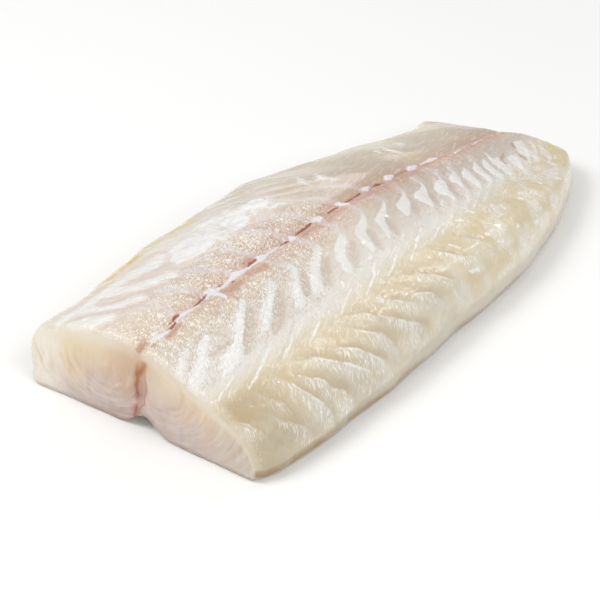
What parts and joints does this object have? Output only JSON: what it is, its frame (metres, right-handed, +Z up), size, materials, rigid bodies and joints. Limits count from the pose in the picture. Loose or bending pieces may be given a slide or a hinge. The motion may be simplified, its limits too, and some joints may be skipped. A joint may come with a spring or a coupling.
{
  "type": "cod loin",
  "caption": "Raw skinned cod loin lying flat: two muscle halves along a midline seam, thick at the cut end and thin at the tail end, with folded flakes in relief on top.",
  "frame": {"origin": "centre of the loin's bounding box in plan, at the level of the surface it lies on", "axes": "+X along the midline from the thick cut end to the thin tail end, +Y to the left as seen from the cut end, +Z up"},
  "size_m": [0.194, 0.0932, 0.0291],
  "materials": {
    "flesh": "wet, glossy and slightly translucent raw fish flesh, cream with white flake lines"
  },
  "bodies": {
    "root": {"cod_loin": "flesh"}
  },
  "joints": []
}
